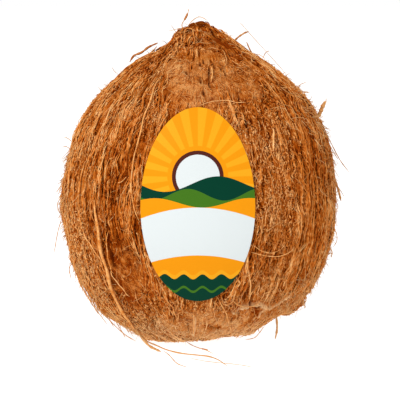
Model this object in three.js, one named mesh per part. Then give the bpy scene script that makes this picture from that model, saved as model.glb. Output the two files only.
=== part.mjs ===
// A ripe coconut, husked down to its coir, with an oval paper label on its front.
// Millimetres, +Z up. It stands on the small flat spot at its base, stalk stub up, and the
// label faces -Y. The origin is the middle of the bounding box's underside.
import * as THREE from 'three';

// ---- Driving dimensions ----
const NUT_HEIGHT = 139;
const NUT_HALF_WIDTH = 60;
const DEPTH_RATIO = 0.97; // front-to-back size over width
const FLAT_HALF_WIDTH = 21.5; // the flat spot that the nut stands on
const FLAT_HALF_DEPTH = 9.5;
const FLAT_SHIFT = 1; // it lies this far to the left of the middle
const BLUNT_STARTS = 0.45; // sine of the azimuth where the base begins to turn blunter
const LOBE_DEPTH = 0.022; // share of the radius by which the three lobes swell
const STUB_RADIUS = 8;
const STUB_DISH_DEPTH = 2; // hollow in the stub's broken end
const STUB_LEAN = 0.9; // the broken end's rim drops this far towards the front

const LABEL_WIDTH = 47; // seen from straight in front
const LABEL_HEIGHT = 80.5;
const LABEL_MIDDLE_HEIGHT = 64.4;
const LABEL_THICKNESS = 0.35;
const LABEL_GAP = 0.3; // clearance that the glue fills

const SIDES_AROUND = 56;
const STEPS_UP = 40;
const LABEL_RINGS = 11;
const LABEL_SIDES = 48;

// ---- Outlines ----
// Each outline runs from the edge of the flat spot up to the rim of the stub's broken end,
// as [radius, height]. All have the same stations, so that they blend around the nut.
// Above the waist the front and the back follow the mean of the two sides.
const LEFT_OUTLINE = [
  [FLAT_HALF_WIDTH + FLAT_SHIFT, 0],
  [32.5, 6.7],
  [43.6, 13.6],
  [48.8, 21],
  [55.3, 34],
  [59.2, 48],
  [NUT_HALF_WIDTH, 60],
  [58, 77],
  [53.5, 92],
  [46, 105],
  [36, 115.5],
  [24, 124],
  [14, 129],
  [10.2, 132.8],
  [STUB_RADIUS, 136.6],
  [4, NUT_HEIGHT],
];
const RIGHT_OUTLINE = [
  [FLAT_HALF_WIDTH - FLAT_SHIFT, 0],
  [29, 7],
  [41.6, 15],
  [49.3, 22],
  [55.3, 34],
  [59, 47],
  [NUT_HALF_WIDTH, 60],
  [58.8, 77],
  [55.6, 92],
  [48.8, 105],
  [38.5, 115.5],
  [27.5, 123.6],
  [18, 130],
  [12, 134],
  [STUB_RADIUS, 136.8],
  [4, NUT_HEIGHT],
];
// In front and behind the base is rounder: it curls up from the flat spot to a low corner.
const BLUNT_OUTLINE_BELOW_WAIST = [
  [FLAT_HALF_DEPTH, 0],
  [21, 3],
  [32, 8.5],
  [43, 18.5],
  [53, 33.5],
  [58.7, 48],
];

function outlineCurve(points) {
  const stations = points.map(([radius, height]) => new THREE.Vector3(radius, 0, height));
  return new THREE.CatmullRomCurve3(stations, false, 'centripetal');
}

function bluntOutline() {
  return LEFT_OUTLINE.map(([leftRadius, leftHeight], station) => {
    if (station < BLUNT_OUTLINE_BELOW_WAIST.length) return BLUNT_OUTLINE_BELOW_WAIST[station];
    const [rightRadius, rightHeight] = RIGHT_OUTLINE[station];
    return [(leftRadius + rightRadius) / 2, (leftHeight + rightHeight) / 2];
  });
}

const leftCurve = outlineCurve(LEFT_OUTLINE);
const rightCurve = outlineCurve(RIGHT_OUTLINE);
const bluntCurve = outlineCurve(bluntOutline());

// ---- The nut's skin, as a point at an azimuth (0 is +X) and a share t of the way up ----
function skinPoint(azimuth, t) {
  const rightShare = 0.5 + 0.5 * Math.cos(azimuth);
  const bluntShare = THREE.MathUtils.smoothstep(Math.abs(Math.sin(azimuth)), BLUNT_STARTS, 1);
  const sides = leftCurve.getPoint(t).lerp(rightCurve.getPoint(t), rightShare);
  const profile = sides.lerp(bluntCurve.getPoint(t), bluntShare);
  const belly = Math.sin(Math.PI * THREE.MathUtils.clamp(profile.z / NUT_HEIGHT, 0, 1));
  const radius = profile.x * (1 - LOBE_DEPTH * belly * Math.sin(3 * azimuth));
  const nearTop = THREE.MathUtils.smoothstep(profile.z, NUT_HEIGHT - 8, NUT_HEIGHT);
  const lean = STUB_LEAN * nearTop * (Math.sin(azimuth) - 1);
  return new THREE.Vector3(
    radius * Math.cos(azimuth),
    radius * Math.sin(azimuth) * DEPTH_RATIO,
    profile.z + lean,
  );
}

// Halving search for the value between low and high where a rising function reaches target.
function solveRising(rising, target, low, high) {
  for (let step = 0; step < 40; step += 1) {
    const middle = (low + high) / 2;
    if (rising(middle) < target) low = middle;
    else high = middle;
  }
  return (low + high) / 2;
}

// The skin straight behind a point (x, z) of the front view.
function frontSkin(x, z) {
  const STEPS = 12;
  let azimuth = -Math.PI / 2;
  let t = 0.5;
  for (let step = 0; step < STEPS; step += 1) {
    t = solveRising((s) => skinPoint(azimuth, s).z, z, 0, 0.9);
    azimuth = solveRising((a) => skinPoint(a, t).x, x, -Math.PI * 0.9, -Math.PI * 0.1);
  }
  return skinPoint(azimuth, t);
}

// ---- Mesh helpers ----
function closedGeometry(positions, triangles) {
  const geometry = new THREE.BufferGeometry();
  geometry.setAttribute('position', new THREE.Float32BufferAttribute(positions, 3));
  geometry.setIndex(triangles);
  geometry.computeVertexNormals();
  return geometry;
}

// Triangles for one quad whose corners are given anticlockwise from outside.
function quad(a, b, c, d) {
  return [a, b, c, a, c, d];
}

// ---- Coconut: one grown solid, from the flat spot to the stub's broken end ----
function makeCoconut() {
  const positions = [];
  const triangles = [];
  for (let row = 0; row <= STEPS_UP; row += 1) {
    for (let side = 0; side < SIDES_AROUND; side += 1) {
      const azimuth = (2 * Math.PI * side) / SIDES_AROUND;
      positions.push(...skinPoint(azimuth, row / STEPS_UP).toArray());
    }
  }
  const at = (row, side) => row * SIDES_AROUND + (side % SIDES_AROUND);
  for (let row = 0; row < STEPS_UP; row += 1) {
    for (let side = 0; side < SIDES_AROUND; side += 1) {
      triangles.push(
        ...quad(at(row, side), at(row, side + 1), at(row + 1, side + 1), at(row + 1, side)),
      );
    }
  }
  const baseMiddle = positions.length / 3;
  positions.push(-FLAT_SHIFT, 0, 0);
  const dishMiddle = baseMiddle + 1;
  positions.push(0, 0, NUT_HEIGHT - STUB_LEAN - STUB_DISH_DEPTH);
  for (let side = 0; side < SIDES_AROUND; side += 1) {
    triangles.push(baseMiddle, at(0, side + 1), at(0, side));
    triangles.push(dishMiddle, at(STEPS_UP, side), at(STEPS_UP, side + 1));
  }
  const coir = new THREE.MeshStandardMaterial({ color: 0xb0672f, roughness: 0.9, metalness: 0 });
  const mesh = new THREE.Mesh(closedGeometry(positions, triangles), coir);
  mesh.name = 'coconut';
  return mesh;
}

// ---- Label: an oval of paper that follows the nut's front, a glue gap clear of it ----
function makeLabel() {
  const NORMAL_STEP = 0.5;
  const inner = [];
  const outer = [];
  const place = (x, z) => {
    const skin = frontSkin(x, z);
    const across = frontSkin(x + NORMAL_STEP, z).sub(skin);
    const up = frontSkin(x, z + NORMAL_STEP).sub(skin);
    const outward = across.cross(up).normalize();
    inner.push(...skin.clone().addScaledVector(outward, LABEL_GAP).toArray());
    outer.push(...skin.clone().addScaledVector(outward, LABEL_GAP + LABEL_THICKNESS).toArray());
  };
  place(0, LABEL_MIDDLE_HEIGHT);
  for (let ring = 1; ring <= LABEL_RINGS; ring += 1) {
    const share = ring / LABEL_RINGS;
    for (let side = 0; side < LABEL_SIDES; side += 1) {
      const angle = (2 * Math.PI * side) / LABEL_SIDES;
      const x = (LABEL_WIDTH / 2) * share * Math.cos(angle);
      const z = LABEL_MIDDLE_HEIGHT + (LABEL_HEIGHT / 2) * share * Math.sin(angle);
      place(x, z);
    }
  }
  const faceCount = inner.length / 3;
  const at = (ring, side) => 1 + (ring - 1) * LABEL_SIDES + (side % LABEL_SIDES);
  const triangles = [];
  for (let side = 0; side < LABEL_SIDES; side += 1) {
    const spoke = [0, at(1, side), at(1, side + 1)];
    triangles.push(...spoke.map((index) => index + faceCount));
    triangles.push(...spoke.reverse());
    for (let ring = 1; ring < LABEL_RINGS; ring += 1) {
      const cell = quad(at(ring, side), at(ring + 1, side), at(ring + 1, side + 1), at(ring, side + 1));
      triangles.push(...cell.map((index) => index + faceCount));
      triangles.push(...cell.reverse());
    }
    const edge = at(LABEL_RINGS, side);
    const nextEdge = at(LABEL_RINGS, side + 1);
    triangles.push(...quad(edge, nextEdge, nextEdge + faceCount, edge + faceCount));
  }
  const paper = new THREE.MeshStandardMaterial({ color: 0xf9a01b, roughness: 0.45, metalness: 0 });
  const mesh = new THREE.Mesh(closedGeometry([...inner, ...outer], triangles), paper);
  mesh.name = 'label';
  return mesh;
}

// ---- Assembly, moved so that the origin is under the middle of the whole object ----
const assembly = new THREE.Group();
assembly.add(makeCoconut());
assembly.add(makeLabel());

const box = new THREE.Box3().setFromObject(assembly);
const middle = box.getCenter(new THREE.Vector3());
assembly.position.set(-middle.x, -middle.y, -box.min.z);
assembly.updateMatrixWorld(true);

export default assembly;
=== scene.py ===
import math
from functools import partial

import bpy
import numpy as np
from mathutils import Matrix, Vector
from mathutils.bvhtree import BVHTree


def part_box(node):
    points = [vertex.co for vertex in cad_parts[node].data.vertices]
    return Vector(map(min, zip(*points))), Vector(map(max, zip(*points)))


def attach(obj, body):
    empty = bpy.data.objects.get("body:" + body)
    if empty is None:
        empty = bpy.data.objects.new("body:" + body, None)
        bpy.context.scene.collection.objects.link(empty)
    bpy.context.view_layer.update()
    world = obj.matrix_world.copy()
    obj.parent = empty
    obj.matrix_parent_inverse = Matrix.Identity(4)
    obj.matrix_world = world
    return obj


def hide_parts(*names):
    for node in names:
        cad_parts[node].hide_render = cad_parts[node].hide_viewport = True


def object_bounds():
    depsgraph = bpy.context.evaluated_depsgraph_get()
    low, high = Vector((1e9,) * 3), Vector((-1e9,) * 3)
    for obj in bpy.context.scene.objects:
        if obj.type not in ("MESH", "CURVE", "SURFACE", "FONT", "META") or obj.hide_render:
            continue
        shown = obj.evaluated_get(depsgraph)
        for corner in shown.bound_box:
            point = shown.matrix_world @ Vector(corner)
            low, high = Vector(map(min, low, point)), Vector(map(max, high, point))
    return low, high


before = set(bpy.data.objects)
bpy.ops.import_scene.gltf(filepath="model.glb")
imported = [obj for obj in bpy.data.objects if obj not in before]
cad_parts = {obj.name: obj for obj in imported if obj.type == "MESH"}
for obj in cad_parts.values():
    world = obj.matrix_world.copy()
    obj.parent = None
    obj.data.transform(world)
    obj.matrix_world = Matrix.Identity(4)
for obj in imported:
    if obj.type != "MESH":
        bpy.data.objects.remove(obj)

cad_lowest, cad_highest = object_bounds()
bpy.ops.object.select_all(action="DESELECT")


# ---- Camera and studio ----
# The nut stands on a wide white floor in an even white room, lit by a soft lamp from the
# upper left and a weaker, wider one from the right. A long lens looks at it almost level,
# a little from above.
MM = 0.001
LENS = 200
SENSOR = 36
VIEW_WIDTH = 174.3 * MM
VIEW_ELEVATION = math.radians(6)
VIEW_MIDDLE = Vector((0.9 * MM, 0, 61.4 * MM))

camera_data = bpy.data.cameras.new("camera")
camera_data.lens = LENS
camera_data.sensor_width = SENSOR
camera_data.clip_start = 0.05
camera_data.clip_end = 50
camera = bpy.data.objects.new("camera", camera_data)
bpy.context.collection.objects.link(camera)
towards_camera = Vector((0, -math.cos(VIEW_ELEVATION), math.sin(VIEW_ELEVATION)))
camera.location = VIEW_MIDDLE + towards_camera * (VIEW_WIDTH * LENS / SENSOR)
camera.rotation_euler = (-towards_camera).to_track_quat("-Z", "Y").to_euler()
bpy.context.scene.camera = camera


def soft_lamp(name, place, size, power):
    lamp_data = bpy.data.lights.new(name, "AREA")
    lamp_data.shape = "DISK"
    lamp_data.size = size
    lamp_data.energy = power
    lamp = bpy.data.objects.new(name, lamp_data)
    lamp.location = place
    aim = VIEW_MIDDLE - Vector(place)
    lamp.rotation_euler = aim.to_track_quat("-Z", "Y").to_euler()
    bpy.context.collection.objects.link(lamp)


soft_lamp("key_lamp", (-0.7, -1.0, 1.0), size=0.3, power=15.5)
soft_lamp("fill_lamp", (1.1, -0.8, 0.5), size=0.9, power=3.5)


def feed(owner, made, inputs):
    """Links inputs given as sockets and sets the others; i1 is input number 1, and _ a space."""
    for key, value in inputs.items():
        name = int(key[1:]) if key[1:].isdigit() else key.replace("_", " ")
        if isinstance(value, bpy.types.NodeSocket):
            owner.node_tree.links.new(value, made.inputs[name])
        else:
            made.inputs[name].default_value = value


def node(owner, kind, settings=None, **inputs):
    made = owner.node_tree.nodes.new(kind)
    for key, value in (settings or {}).items():
        setattr(made, key, value)
    feed(owner, made, inputs)
    return made


def feed_shader(material, **inputs):
    feed(material, material.node_tree.nodes["Principled BSDF"], inputs)


def new_material(name, **inputs):
    material = bpy.data.materials.new(name)
    material.use_nodes = True
    feed_shader(material, **inputs)
    return material


WHITE = (1, 1, 1, 1)
FLOOR_RADIUS = 8
FLOOR_GREY = (0.35, 0.35, 0.35, 1)
FLOOR_GLOW = 0.95
ROOM_LIGHT = 0.52

room = bpy.data.worlds.new("white_room")
bpy.context.scene.world = room
room.use_nodes = True
room.node_tree.nodes.clear()
room_glow = node(room, "ShaderNodeBackground", Color=WHITE, Strength=ROOM_LIGHT).outputs[0]
room_seen = node(room, "ShaderNodeBackground", Color=WHITE, Strength=1).outputs[0]
seen_directly = node(room, "ShaderNodeLightPath").outputs["Is Camera Ray"]
room_mix = node(room, "ShaderNodeMixShader", Fac=seen_directly, i1=room_glow, i2=room_seen).outputs[0]
node(room, "ShaderNodeOutputWorld", Surface=room_mix)
bpy.context.scene.view_settings.view_transform = "Standard"

bpy.ops.mesh.primitive_circle_add(vertices=64, radius=FLOOR_RADIUS, fill_type="NGON")
floor = bpy.context.object
floor.name = "floor"
floor.data.materials.append(new_material(
    "floor_white", Base_Color=FLOOR_GREY, Roughness=0.9, Specular_IOR_Level=0,
    Emission_Color=WHITE, Emission_Strength=FLOOR_GLOW))


# ---- Husk ----
# The coir that is left on the shell after husking: a mat of fibres pressed into ridges and
# furrows that run from the stub to the base, with bare patches of pith between them.
# It is the nut's whole outside, grown in one piece with the stub.
PROBE_COLUMNS = 240
PROBE_ROWS = 120
SKIN_COLUMNS = 1200
SKIN_ROWS = 480
OUTLINE_POINTS = 721
SKIN_MIDDLE = np.array([0, 0, 66 * MM])

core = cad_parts["coconut"].copy()
core.data = core.data.copy()
bpy.context.collection.objects.link(core)
bpy.context.view_layer.objects.active = core
core.select_set(True)
bpy.ops.object.mode_set(mode="EDIT")
bpy.ops.mesh.select_all(action="SELECT")
bpy.ops.mesh.remove_doubles(threshold=0.01 * MM)
bpy.ops.object.mode_set(mode="OBJECT")
smoothing = core.modifiers.new("smoothing", "SUBSURF")
smoothing.levels = 2
smoothing.render_levels = 2
bpy.ops.object.modifier_apply(modifier="smoothing")


def surface_of(mesh):
    return BVHTree.FromPolygons(
        [vertex.co.copy() for vertex in mesh.vertices],
        [tuple(face.vertices) for face in mesh.polygons],
    )


core_surface = surface_of(core.data)
bpy.data.objects.remove(core)


def skin_distance(azimuth, polar):
    """How far the nut's skin is from its middle; polar is 0 at the stub and pi at the base."""
    ray = Vector((
        math.sin(polar) * math.cos(azimuth),
        math.sin(polar) * math.sin(azimuth),
        math.cos(polar),
    ))
    return core_surface.ray_cast(Vector(SKIN_MIDDLE), ray)[3]


def lookup(grid, azimuth, way):
    """Grid value at an azimuth in radians and a way, from 0 at the stub to 1 at the base."""
    rows, columns = grid.shape[:2]
    x = np.mod(azimuth, 2 * math.pi) / (2 * math.pi) * columns
    y = np.clip(way, 0, 1) * (rows - 1)
    x0 = np.floor(x).astype(int)
    y0 = np.minimum(np.floor(y).astype(int), rows - 2)
    fx = x - x0
    fy = y - y0
    if grid.ndim == 3:
        fx = fx[..., None]
        fy = fy[..., None]
    x0 = x0 % columns
    x1 = (x0 + 1) % columns
    upper = grid[y0, x0] * (1 - fx) + grid[y0, x1] * fx
    lower = grid[y0 + 1, x0] * (1 - fx) + grid[y0 + 1, x1] * fx
    return upper * (1 - fy) + lower * fy


# Rows of the skin are an equal way apart along the nut's mean outline.
probe_polar = np.linspace(0, math.pi, PROBE_ROWS + 1)
probe_azimuth = np.linspace(0, 2 * math.pi, PROBE_COLUMNS, endpoint=False)
probe = np.array([[skin_distance(azimuth, polar) for azimuth in probe_azimuth] for polar in probe_polar])
polar_steps = np.linspace(0, math.pi, OUTLINE_POINTS)
mean_reach = np.interp(polar_steps, probe_polar, probe.mean(axis=1))
outline = np.stack([mean_reach * np.sin(polar_steps), mean_reach * np.cos(polar_steps)], axis=1)
outline_way = np.concatenate([[0], np.cumsum(np.linalg.norm(np.diff(outline, axis=0), axis=1))])
OUTLINE_LENGTH = outline_way[-1]
row_polar = np.interp(np.linspace(0, OUTLINE_LENGTH, SKIN_ROWS + 1), outline_way, polar_steps)

column_azimuth = np.linspace(0, 2 * math.pi, SKIN_COLUMNS, endpoint=False)
grid_azimuth, grid_way = np.meshgrid(column_azimuth, np.linspace(0, 1, SKIN_ROWS + 1))
grid_polar = np.broadcast_to(row_polar[:, None], grid_azimuth.shape)
reach = lookup(probe, grid_azimuth, grid_polar / math.pi)
skin_grid = SKIN_MIDDLE + reach[..., None] * np.stack([
    np.sin(grid_polar) * np.cos(grid_azimuth),
    np.sin(grid_polar) * np.sin(grid_azimuth),
    np.cos(grid_polar),
], axis=2)


def unit(vectors):
    return vectors / np.maximum(np.linalg.norm(vectors, axis=-1, keepdims=True), 1e-12)


around = np.roll(skin_grid, -4, axis=1) - np.roll(skin_grid, 4, axis=1)
down = np.gradient(skin_grid, axis=0)
normal_grid = unit(np.cross(down, around))
normal_grid[0] = unit(normal_grid[1].mean(axis=0))
normal_grid[-1] = (0, 0, -1)
radius_grid = np.linalg.norm(skin_grid[..., :2], axis=2)


def ripple(azimuth, way, around, along, seed):
    """Smooth gradient noise, about -1 to 1, in cells counted round the nut and down it."""
    rng = np.random.default_rng(seed)
    turn = rng.uniform(0, 2 * math.pi, (along + 2, around))
    x = np.mod(azimuth, 2 * math.pi) / (2 * math.pi) * around
    y = np.clip(way, 0, 1) * along
    x0 = np.floor(x).astype(int)
    y0 = np.floor(y).astype(int)
    fx = x - x0
    fy = y - y0
    total = 0
    for dx in (0, 1):
        for dy in (0, 1):
            angle = turn[y0 + dy, (x0 + dx) % around]
            slope = np.cos(angle) * (fx - dx) + np.sin(angle) * (fy - dy)
            wx = 1 - np.abs(fx - dx)
            wy = 1 - np.abs(fy - dy)
            fade = wx * wx * (3 - 2 * wx) * wy * wy * (3 - 2 * wy)
            total = total + slope * fade
    return total * 1.5


def step_up(low, high, value):
    share = np.clip((value - low) / (high - low), 0, 1)
    return share * share * (3 - 2 * share)


def spot(across_mm, height_mm, back=False):
    """Azimuth and way of a place on the skin, from its distance across and its height."""
    miss = (skin_grid[..., 0] - across_mm * MM) ** 2 + (skin_grid[..., 2] - height_mm * MM) ** 2
    hidden = skin_grid[..., 1] < 0 if back else skin_grid[..., 1] > 0
    row, column = np.unravel_index(np.argmin(np.where(hidden, np.inf, miss)), miss.shape)
    return column_azimuth[column], row / SKIN_ROWS


grid_ripple = partial(ripple, grid_azimuth, grid_way)
grid_radius = lookup(radius_grid, grid_azimuth, grid_way)
ragged_grid = 0.28 * grid_ripple(46, 28, 51)
PATCH_CORE = 0.62
PATCH_EDGE = 1.25


def patch(across, height, wide, tall, back=False):
    """1 in the middle of an oval patch of the skin, fading to 0; all sizes are in mm."""
    middle_azimuth, middle_way = spot(across, height, back)
    turn = np.mod(grid_azimuth - middle_azimuth + math.pi, 2 * math.pi) - math.pi
    beside = turn * grid_radius / (wide * MM)
    below = (grid_way - middle_way) * OUTLINE_LENGTH / (tall * MM)
    return 1 - step_up(PATCH_CORE, PATCH_EDGE, np.sqrt(beside * beside + below * below) + ragged_grid)


def strongest(front, behind=()):
    patches = [patch(*place) for place in front] + [patch(*place, back=True) for place in behind]
    return np.max(patches, axis=0)


# Places on the skin are given by distance across, height, and half axes, in mm.
# Felted patches, where the fibres are matted flat and few stand up.
FELTED = [
    (1, 115, 18, 15), (-9, 121, 8, 6), (19, 116, 9, 11), (8, 129, 9, 7), (-31, 33, 8, 18),
    (8, 9, 26, 15), (27, 13, 14, 9), (39, 17, 7, 5), (-16, 8, 9, 3),
]
FELTED_BEHIND = [(8, 110, 22, 14), (-30, 55, 8, 20), (27, 26, 10, 14), (-6, 9, 24, 6)]
# Pale dusty pith, scraped bare.
PITH = [
    (2, 10, 12, 8), (1, 4, 14, 7), (15, 11, 9, 6), (-14, 8, 8, 3), (-9, 121, 6, 4),
    (3, 113, 12, 9), (39, 16, 6, 3),
]
PITH_BEHIND = [(5, 110, 16, 8), (25, 20, 12, 6)]
# Places pressed flat and darker.
PRESSED = [(-31, 33, 9, 18), (9, 130, 7, 6)]
PRESSED_BEHIND = [(-30, 55, 8, 20)]
# Places where the fibres are cut short and stand in curls.
CURLED = [
    (33, 74, 13, 48), (2, 21, 30, 6), (-20, 100, 8, 8), (-23, 15, 12, 14), (18, 96, 12, 12),
    (-50, 42, 10, 20), (-40, 22, 8, 8), (-7, 130, 6, 7),
]
CURLED_BEHIND = [
    (-20, 85, 14, 30), (22, 60, 13, 26), (-8, 20, 22, 9), (56, 30, 10, 20), (-4, 131, 14, 7),
]
# Places where stray fuzz stands off the nut.
FUZZY = [
    (-49, 24, 24, 20), (-59, 58, 10, 26), (44, 22, 20, 12), (59, 56, 10, 34), (-26, 9, 16, 8),
    (50, 100, 16, 18),
]
FUZZY_BEHIND = [(-44, 24, 20, 18), (44, 24, 20, 18), (0, 60, 20, 30)]
# The side where the coir was combed most evenly; the even tone of its strands is partly painted flatter
# light on that side.
COMBED_AND_FLAT_LIT = [(46, 54, 22, 46)]
# Dents and swellings of the nut's outline, with their height.
SWELLINGS = [
    (-58.5, 47, 12, 8, -1.5), (-47, 19, 8, 6, -1.2), (-60, 74, 10, 14, -0.7), (42.5, 15, 11, 6, 2.4),
    (12, 0.6, 17, 9, -2.2), (28, 14, 10, 5, -0.8), (-9, 133, 5, 7, 0.7), (26, 34, 12, 14, 0.5),
    (24, 19, 8, 3, 0.7),
]
SWELLINGS_BEHIND = [(-20, 60, 16, 14, -0.8)]
# Where the coir is darker or lighter than the rest, with the change of tone. Partly this is the
# coir's own colour and partly painted light and shade: the left side is painted lighter and the right
# side darker as the lamps fall, the stub lighter against its own shading, the base lighter, partly pale
# dust and partly painted light from the floor, and small spots in hollows near the base and under the
# lower right corner are painted shade.
TONE_AND_PAINTED_LIGHT = [
    (-31, 36, 10, 18, -0.05), (24, 112, 13, 12, -0.07), (0, 114, 14, 12, -0.02),
    (-52, 46, 12, 32, 0.09), (4, 9, 30, 16, 0.14), (-22, 12, 14, 10, 0.06),
    (-36, 60, 12, 26, -0.04), (40, 20, 12, 8, 0.06), (5.6, 10, 5, 3, -0.34),
    (-10, 5, 6, 2.5, -0.3), (25.6, 16, 3, 4, -0.2), (21, 10.6, 3, 5, -0.24),
    (-6, 12, 4, 7, -0.12), (12, 15, 6, 3, -0.1), (46, 62, 18, 40, -0.03), (0, 132, 16, 8, 0.06),
    (42, 34, 14, 14, 0.05), (-28, 89, 8, 17, -0.12), (-31, 58, 9, 13, -0.14),
    (-36, 104, 16, 8, 0.09), (-27, 111, 8, 8, 0.08), (51, 62, 9, 46, -0.09), (39, 109, 9, 8, -0.09),
    (17, 127, 8, 7, -0.13), (24, 23, 10, 8, 0.07), (30, 31, 9, 9, 0.08), (2, 123, 8, 6, 0.1),
    (29, 9, 7, 5, -0.16), (-50, 74, 8, 14, 0.05), (28, 13, 12, 6, -0.05), (33, 72, 7, 22, 0.05),
]


def smooth_line(points, steps):
    """A Catmull-Rom curve through the points."""
    points = np.array(points, float)
    ends = [2 * points[:1] - points[1:2], points, 2 * points[-1:] - points[-2:-1]]
    padded = np.concatenate(ends)
    place = np.linspace(0, len(points) - 1, steps)
    first = np.minimum(place.astype(int), len(points) - 2)
    f = (place - first)[:, None]
    p0, p1, p2, p3 = (padded[first + step] for step in range(4))
    slope = p2 - p0
    bend = 2 * p0 - 5 * p1 + 4 * p2 - p3
    twist = 3 * p1 - p0 - 3 * p2 + p3
    return p1 + 0.5 * f * (slope + f * (bend + f * twist))


def skin_line(points, steps):
    """Azimuths and ways of a curve through places on the front, given across and in height."""
    places = np.array([spot(across, height) for across, height in points])
    places[:, 0] = np.unwrap(places[:, 0])
    places = smooth_line(places, steps)
    return places[:, 0], places[:, 1]


STROKE_CORE = 0.35
LEAST_RADIUS = 4 * MM


def stroke(grid, azimuth, way, half_width):
    """Marks a line on a grid of the skin: 1 along its middle, 0 at half_width mm from it."""
    for a, w in zip(azimuth, way):
        row = int(w * SKIN_ROWS)
        column_size = 2 * math.pi * max(radius_grid[row].mean(), LEAST_RADIUS) / SKIN_COLUMNS / MM
        row_size = OUTLINE_LENGTH / SKIN_ROWS / MM
        wide = int(half_width / column_size) + 1
        tall = int(half_width / row_size) + 1
        rows = np.clip(np.arange(row - tall, row + tall + 2), 0, SKIN_ROWS)
        column = int(a / (2 * math.pi) * SKIN_COLUMNS)
        columns = np.arange(column - wide, column + wide + 2)
        across = (columns - a / (2 * math.pi) * SKIN_COLUMNS) * column_size
        below = (rows - w * SKIN_ROWS) * row_size
        miss = np.sqrt(across[None, :] ** 2 + below[:, None] ** 2) / half_width
        window = np.ix_(rows, columns % SKIN_COLUMNS)
        grid[window] = np.maximum(grid[window], 1 - step_up(STROKE_CORE, 1, miss))


# Slits where the mat has parted and hollows in it, each from end to end and half its width.
OPEN_SLITS = [
    ([(44, 89.2), (44.7, 78.1)], 0.8), ([(45.2, 25.6), (40.9, 21.6)], 0.7),
    ([(-45.9, 94.1), (-45.8, 89)], 0.6), ([(-39.9, 80.5), (-39.8, 74)], 0.7),
    ([(-36, 71.2), (-36, 66.5)], 0.6), ([(-47.2, 66.5), (-47.2, 61)], 0.6),
    ([(5.6, 136.3), (7.3, 134.3), (9.9, 131.6)], 0.8), ([(4.7, 121.1), (4.6, 113.6)], 0.5),
    ([(-39.2, 52), (-38.7, 47.6), (-37.6, 44.4)], 1.3), ([(-36.8, 43), (-35.4, 37.6)], 1.6),
    ([(-5, 119.5), (-4.8, 118.6)], 0.8), ([(-34.5, 26), (-33, 22.6)], 0.6),
    ([(1.3, 116.9), (1.3, 115.2)], 0.6), ([(2.1, 110.8), (2.8, 109.8)], 0.7),
    ([(-12, 111.2), (-12.2, 110.4)], 0.7), ([(5.1, 113.6), (5.4, 112.6)], 0.6),
    ([(23.6, 18.9), (26.2, 18.9)], 1.2), ([(5.6, 9.9), (8.6, 9.8)], 0.7),
    ([(-5.6, 131.2), (-5.3, 130.4)], 1.1), ([(0.3, 132.3), (0.7, 131.5)], 0.9),
    ([(-8.6, 136.4), (-7.4, 137)], 0.8), ([(0.1, 137.3), (0.7, 136.3)], 1.1),
]
# Ridges of bare pith along the edge that was trimmed off at the lower right.
PITH_EDGES = [
    ([(15.5, 17.2), (18.5, 19.2), (21.5, 20.2), (24.8, 20.9), (27.5, 19.7), (29.2, 18.3), (31, 17.9)], 1.35),
    ([(31, 17.9), (34, 19.2), (37.1, 21.2), (39.5, 22.3)], 1.1),
    ([(31, 16.9), (27.6, 15.6), (26, 13.2)], 0.8),
    ([(-1.6, 16.8), (-1.4, 13.8), (-1.6, 9.6), (-2.2, 5)], 0.9),
]
# Where the strands have worn away round the stub: a line along each place and half its width.
WORN_PLACES = [
    ([(-7, 126.5), (-1, 125), (7, 125)], 4.2), ([(6.5, 134), (10, 131), (15, 127.5)], 3.2),
]


def strokes(lines, steps, widen=1.0):
    """A grid marked with several lines over the front, each drawn in a number of steps."""
    grid = np.zeros(radius_grid.shape)
    for points, half_width in lines:
        stroke(grid, *skin_line(points, steps), half_width * widen)
    return grid


felt_grid = strongest(FELTED, FELTED_BEHIND)
pith_grid = strongest(PITH, PITH_BEHIND)
pressed_grid = strongest(PRESSED, PRESSED_BEHIND)
curled_grid = strongest(CURLED, CURLED_BEHIND) * (1 - felt_grid)
fuzzy_grid = strongest(FUZZY, FUZZY_BEHIND)
combed_and_flat_lit_grid = strongest(COMBED_AND_FLAT_LIT)
edge_grid = strokes(PITH_EDGES, 160) * step_up(-0.95, -0.05, grid_ripple(420, 190, 53))
bare_grid = np.maximum(strokes(PITH_EDGES, 160, 1.7), strokes(WORN_PLACES, 160))
slit_grid = strokes(OPEN_SLITS, 40)
felt_grid = np.maximum(felt_grid, edge_grid)
# Changes of tone over the skin: partly the coir's own colour, partly painted light and shade.
tone_and_painted_light_grid = sum(change * patch(*place) for *place, change in TONE_AND_PAINTED_LIGHT)


def swirl(azimuth, way):
    """How far the lie of the fibres strays sideways from straight down, in radians."""
    slow = 0.05 * ripple(azimuth, way, 7, 4, 11)
    middling = 0.02 * ripple(azimuth, way, 22, 12, 12)
    quick = 0.006 * ripple(azimuth, way, 60, 26, 13)
    return slow + middling + quick


# Small slits open everywhere but where the mat is closed, and gaps open between the curls.
SMALL_SLITS = 1500
CURL_GAPS = 700
SLIT_POINTS = 12
GAP_POINTS = 6
closed_grid = np.max([0.95 * felt_grid, 0.3 * curled_grid, 0.7 * combed_and_flat_lit_grid], axis=0)
slit_rng = np.random.default_rng(61)
for _ in range(SMALL_SLITS):
    slit_way = slit_rng.uniform(0.07, 0.84)
    slit_azimuth = slit_rng.uniform(0, 2 * math.pi)
    slit_length = slit_rng.uniform(1.5, 6.5) * MM / OUTLINE_LENGTH
    slit_ways = np.linspace(slit_way, slit_way + slit_length, SLIT_POINTS)
    slit_lie = slit_azimuth + swirl(slit_azimuth, slit_way) - swirl(slit_azimuth, slit_ways)
    if slit_rng.uniform() > lookup(closed_grid, slit_azimuth, slit_way):
        stroke(slit_grid, slit_lie % (2 * math.pi), slit_ways, slit_rng.uniform(0.33, 0.66))
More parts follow.
